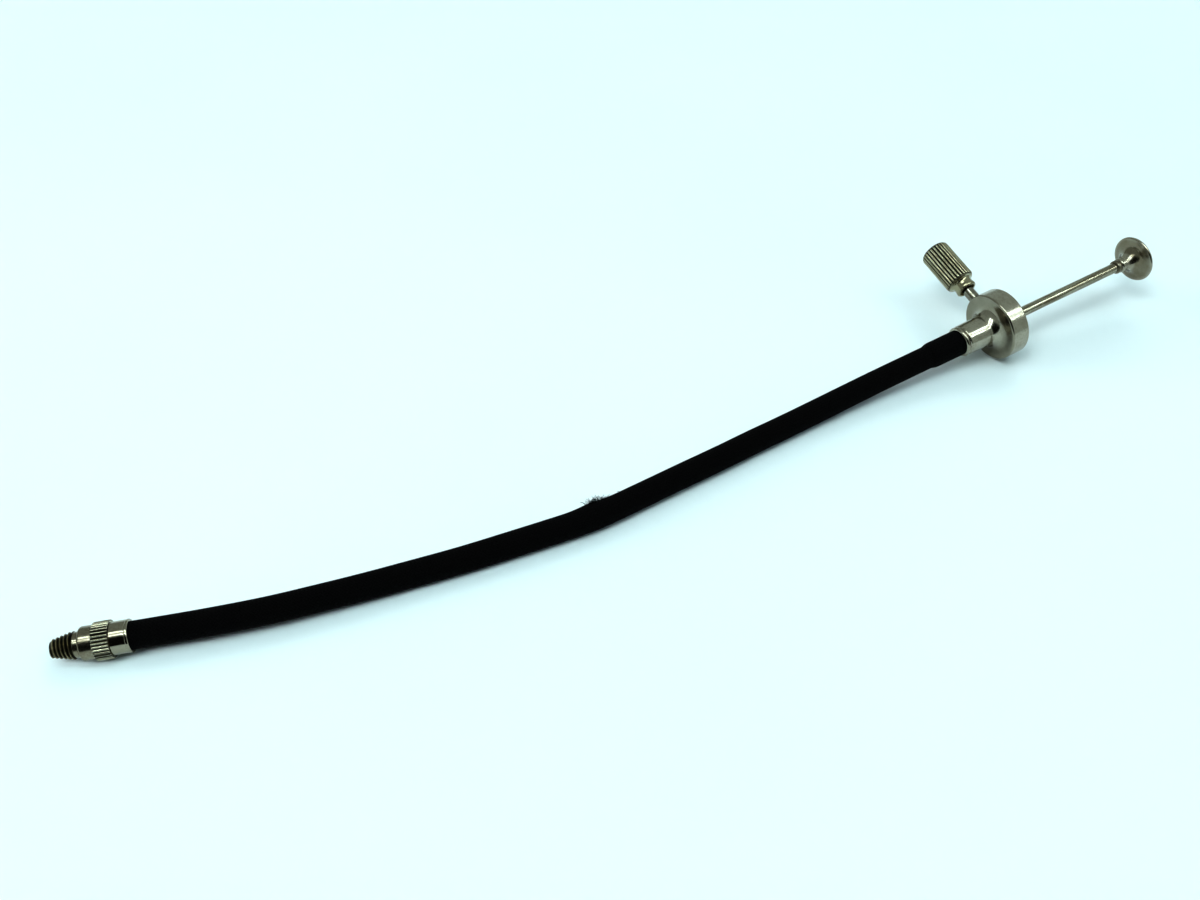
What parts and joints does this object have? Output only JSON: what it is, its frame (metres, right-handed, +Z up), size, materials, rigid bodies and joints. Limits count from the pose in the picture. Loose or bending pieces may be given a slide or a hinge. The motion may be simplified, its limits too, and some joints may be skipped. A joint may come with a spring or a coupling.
{
  "type": "cable shutter release",
  "caption": "Short camera cable release with a black cloth-covered cable, thumb plunger with lock screw on a finger disc, and a knurled taper-threaded tip.",
  "frame": {"origin": "on the surface the release lies on, under the middle of the handle's box (finger disc, lock screw, rod, button and the guide tube behind the disc)", "axes": "+Z up from the surface; +X along the handle's line on the surface, towards the thumb button; +Y towards the side that the lock screw points to"},
  "size_m": [0.1747, 0.0224, 0.0127],
  "materials": {
    "aged_nickel": "worn satin nickel plate, warm grey",
    "worn_brass_nickel": "nickel plate worn to brass on the knurling",
    "dark_thread": "brass darkened brown",
    "bright_steel": "bright drawn steel",
    "spring_steel": "plain spring steel",
    "plain_brass": "plain turned brass",
    "black_cloth": "black woven cotton, slightly frayed"
  },
  "bodies": {
    "casing": {"finger_disc": "aged_nickel", "guide_tube": "plain_brass", "tube_bush": "plain_brass", "return_spring": "spring_steel", "cloth_sleeve": "black_cloth", "neck_cuff": "black_cloth", "wound_casing": "spring_steel", "inner_wire": "spring_steel", "tip_ferrule": "aged_nickel"},
    "plunger": {"plunger_rod": "bright_steel", "rod_stop": "plain_brass", "button_collar": "aged_nickel", "thumb_button": "aged_nickel"},
    "lock_screw_shank": {"lock_shank": "bright_steel"},
    "lock_screw_head": {"lock_head": "worn_brass_nickel"},
    "nipple": {"knurled_ring": "aged_nickel", "threaded_nipple": "dark_thread"},
    "pin": {"push_pin": "bright_steel"}
  },
  "joints": [
    {"name": "plunger_press", "type": "slide", "parent": "casing", "child": "plunger", "axis": [-0.9936, 0, -0.1132], "range_m": [0, 0.013], "stiffness_N_per_m": 120, "springref_m": -0.003, "deforming": ["return_spring", "inner_wire"]},
    {"name": "pin_push", "type": "slide", "parent": "casing", "child": "pin", "axis": [-0.9659, 0.2588, 0], "range_m": [0, 0.013]},
    {"name": "lock_turn", "type": "hinge", "parent": "lock_screw_shank", "child": "lock_screw_head", "pos_m": [-0.00414, 0.00693, 0.00863], "axis": [0.0264, -0.9724, -0.2319], "range_deg": [-360, 450]},
    {"name": "lock_advance", "type": "slide", "parent": "casing", "child": "lock_screw_shank", "axis": [0.0264, -0.9724, -0.2319], "range_m": [-0.00035, 0.0004375]},
    {"name": "nipple_turn", "type": "hinge", "parent": "casing", "child": "nipple", "pos_m": [-0.14461, 0.00098, 0.00245], "axis": [-0.9659, 0.2588, 0], "continuous": true}
  ],
  "couplings": [
    {"joint": "pin_push", "follows": "plunger_press", "ratio": 1},
    {"joint": "lock_turn", "follows": "lock_advance", "rad_per_m": 17952}
  ]
}
